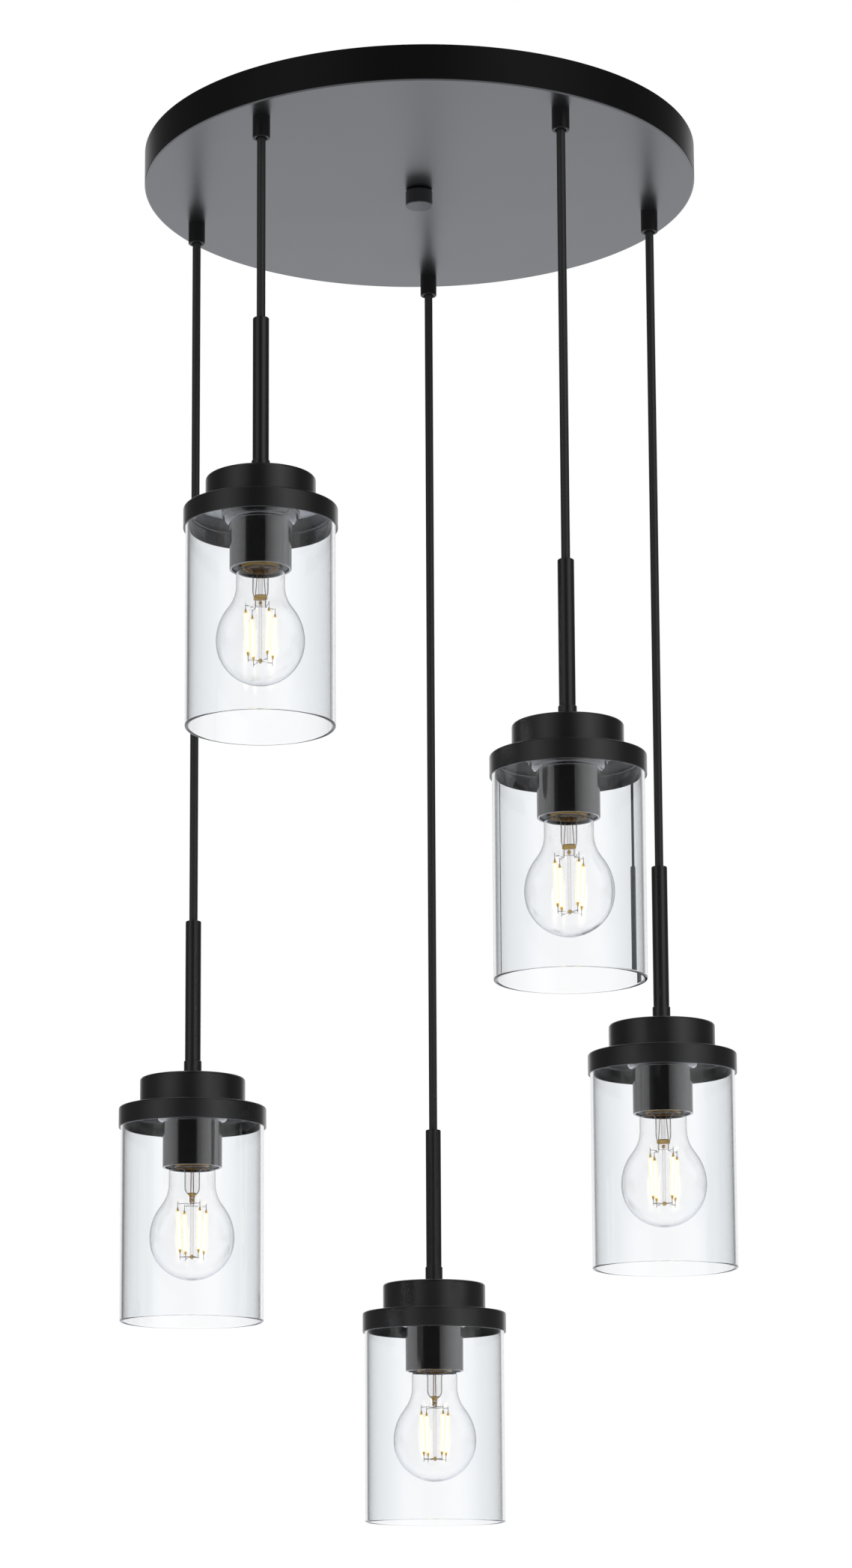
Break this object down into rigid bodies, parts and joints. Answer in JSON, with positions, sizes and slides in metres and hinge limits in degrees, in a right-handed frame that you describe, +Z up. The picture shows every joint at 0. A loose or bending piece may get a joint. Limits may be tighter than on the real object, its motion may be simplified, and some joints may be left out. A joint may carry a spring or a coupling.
{
  "type": "cluster pendant light",
  "caption": "Round ceiling canopy from which clear cylinder-glass lamps with globe bulbs hang on cords at staggered heights.",
  "frame": {"origin": "on the ceiling plane, midway between the mounting bar's two slots, on the canopy's axis", "axes": "+Z up into the ceiling, +X along the mounting bar, +Y towards the pendant with the longest cord"},
  "size_m": [0.4376, 0.4254, 0.973],
  "materials": {
    "satin_black": "satin black paint",
    "cord_black": "smooth black cord sheath",
    "clear_glass": "clear polished glass",
    "brass": "plain brass",
    "holder_black": "dark moulded resin",
    "zinc_steel": "zinc-plated steel",
    "ground_green": "green ground screw",
    "terminal_plastic": "ivory moulded plastic"
  },
  "bodies": {
    "canopy": {"canopy_pan": "satin_black", "mounting_bar": "zinc_steel", "centre_stud": "zinc_steel", "ground_screw": "ground_green", "cord_grips": "satin_black", "grip_set_screws": "satin_black", "locknuts": "zinc_steel", "cord_tails": "cord_black", "terminal_block": "terminal_plastic"},
    "finial": {"finial": "satin_black"},
    "cord_bend_1": {"cord_bend_1": "cord_black"},
    "cord_1": {"hanging_cord_1": "cord_black"},
    "lamp_1": {"stem_1": "satin_black", "cap_1": "satin_black", "glass_shade_1": "clear_glass", "lamp_sleeve_1": "satin_black", "lampholder_1": "holder_black", "screw_shell_1": "brass"},
    "bulb_1": {"bulb_glass_1": "clear_glass", "bulb_base_1": "brass"},
    "cord_bend_2": {"cord_bend_2": "cord_black"},
    "cord_2": {"hanging_cord_2": "cord_black"},
    "lamp_2": {"stem_2": "satin_black", "cap_2": "satin_black", "glass_shade_2": "clear_glass", "lamp_sleeve_2": "satin_black", "lampholder_2": "holder_black", "screw_shell_2": "brass"},
    "bulb_2": {"bulb_glass_2": "clear_glass", "bulb_base_2": "brass"},
    "cord_bend_3": {"cord_bend_3": "cord_black"},
    "cord_3": {"hanging_cord_3": "cord_black"},
    "lamp_3": {"stem_3": "satin_black", "cap_3": "satin_black", "glass_shade_3": "clear_glass", "lamp_sleeve_3": "satin_black", "lampholder_3": "holder_black", "screw_shell_3": "brass"},
    "bulb_3": {"bulb_glass_3": "clear_glass", "bulb_base_3": "brass"},
    "cord_bend_4": {"cord_bend_4": "cord_black"},
    "cord_4": {"hanging_cord_4": "cord_black"},
    "lamp_4": {"stem_4": "satin_black", "cap_4": "satin_black", "glass_shade_4": "clear_glass", "lamp_sleeve_4": "satin_black", "lampholder_4": "holder_black", "screw_shell_4": "brass"},
    "bulb_4": {"bulb_glass_4": "clear_glass", "bulb_base_4": "brass"},
    "cord_bend_5": {"cord_bend_5": "cord_black"},
    "cord_5": {"hanging_cord_5": "cord_black"},
    "lamp_5": {"stem_5": "satin_black", "cap_5": "satin_black", "glass_shade_5": "clear_glass", "lamp_sleeve_5": "satin_black", "lampholder_5": "holder_black", "screw_shell_5": "brass"},
    "bulb_5": {"bulb_glass_5": "clear_glass", "bulb_base_5": "brass"}
  },
  "joints": [
    {"name": "finial_turn", "type": "hinge", "parent": "canopy", "child": "finial", "pos_m": [0, 0, -0.0255], "axis": [0, 0, 1], "range_deg": [-2520, 0]},
    {"name": "swing_x_1", "type": "hinge", "parent": "canopy", "child": "cord_bend_1", "pos_m": [0, 0.175, -0.0385], "axis": [1, 0, 0], "range_deg": [-10, 10]},
    {"name": "swing_y_1", "type": "hinge", "parent": "cord_bend_1", "child": "cord_1", "pos_m": [0, 0.175, -0.0385], "axis": [0, 1, 0], "range_deg": [-10, 10]},
    {"name": "raise_1", "type": "slide", "parent": "cord_1", "child": "lamp_1", "axis": [0, 0, 1], "range_m": [0, 0.08], "deforming": ["hanging_cord_1"]},
    {"name": "bulb_turn_1", "type": "hinge", "parent": "lamp_1", "child": "bulb_1", "pos_m": [0, 0.175, -0.8595], "axis": [0, 0, 1], "range_deg": [-1800, 0]},
    {"name": "swing_x_2", "type": "hinge", "parent": "canopy", "child": "cord_bend_2", "pos_m": [-0.16643, 0.05408, -0.0385], "axis": [1, 0, 0], "range_deg": [-10, 10]},
    {"name": "swing_y_2", "type": "hinge", "parent": "cord_bend_2", "child": "cord_2", "pos_m": [-0.16643, 0.05408, -0.0385], "axis": [0, 1, 0], "range_deg": [-10, 10]},
    {"name": "raise_2", "type": "slide", "parent": "cord_2", "child": "lamp_2", "axis": [0, 0, 1], "range_m": [0, 0.08], "deforming": ["hanging_cord_2"]},
    {"name": "bulb_turn_2", "type": "hinge", "parent": "lamp_2", "child": "bulb_2", "pos_m": [-0.16643, 0.05408, -0.7245], "axis": [0, 0, 1], "range_deg": [-1800, 0]},
    {"name": "swing_x_3", "type": "hinge", "parent": "canopy", "child": "cord_bend_3", "pos_m": [-0.10286, -0.14158, -0.0385], "axis": [1, 0, 0], "range_deg": [-10, 10]},
    {"name": "swing_y_3", "type": "hinge", "parent": "cord_bend_3", "child": "cord_3", "pos_m": [-0.10286, -0.14158, -0.0385], "axis": [0, 1, 0], "range_deg": [-10, 10]},
    {"name": "raise_3", "type": "slide", "parent": "cord_3", "child": "lamp_3", "axis": [0, 0, 1], "range_m": [0, 0.08], "deforming": ["hanging_cord_3"]},
    {"name": "bulb_turn_3", "type": "hinge", "parent": "lamp_3", "child": "bulb_3", "pos_m": [-0.10286, -0.14158, -0.3445], "axis": [0, 0, 1], "range_deg": [-1800, 0]},
    {"name": "swing_x_4", "type": "hinge", "parent": "canopy", "child": "cord_bend_4", "pos_m": [0.10286, -0.14158, -0.0385], "axis": [1, 0, 0], "range_deg": [-10, 10]},
    {"name": "swing_y_4", "type": "hinge", "parent": "cord_bend_4", "child": "cord_4", "pos_m": [0.10286, -0.14158, -0.0385], "axis": [0, 1, 0], "range_deg": [-10, 10]},
    {"name": "raise_4", "type": "slide", "parent": "cord_4", "child": "lamp_4", "axis": [0, 0, 1], "range_m": [0, 0.08], "deforming": ["hanging_cord_4"]},
    {"name": "bulb_turn_4", "type": "hinge", "parent": "lamp_4", "child": "bulb_4", "pos_m": [0.10286, -0.14158, -0.5195], "axis": [0, 0, 1], "range_deg": [-1800, 0]},
    {"name": "swing_x_5", "type": "hinge", "parent": "canopy", "child": "cord_bend_5", "pos_m": [0.16643, 0.05408, -0.0385], "axis": [1, 0, 0], "range_deg": [-10, 10]},
    {"name": "swing_y_5", "type": "hinge", "parent": "cord_bend_5", "child": "cord_5", "pos_m": [0.16643, 0.05408, -0.0385], "axis": [0, 1, 0], "range_deg": [-10, 10]},
    {"name": "raise_5", "type": "slide", "parent": "cord_5", "child": "lamp_5", "axis": [0, 0, 1], "range_m": [0, 0.08], "deforming": ["hanging_cord_5"]},
    {"name": "bulb_turn_5", "type": "hinge", "parent": "lamp_5", "child": "bulb_5", "pos_m": [0.16643, 0.05408, -0.6895], "axis": [0, 0, 1], "range_deg": [-1800, 0]}
  ]
}
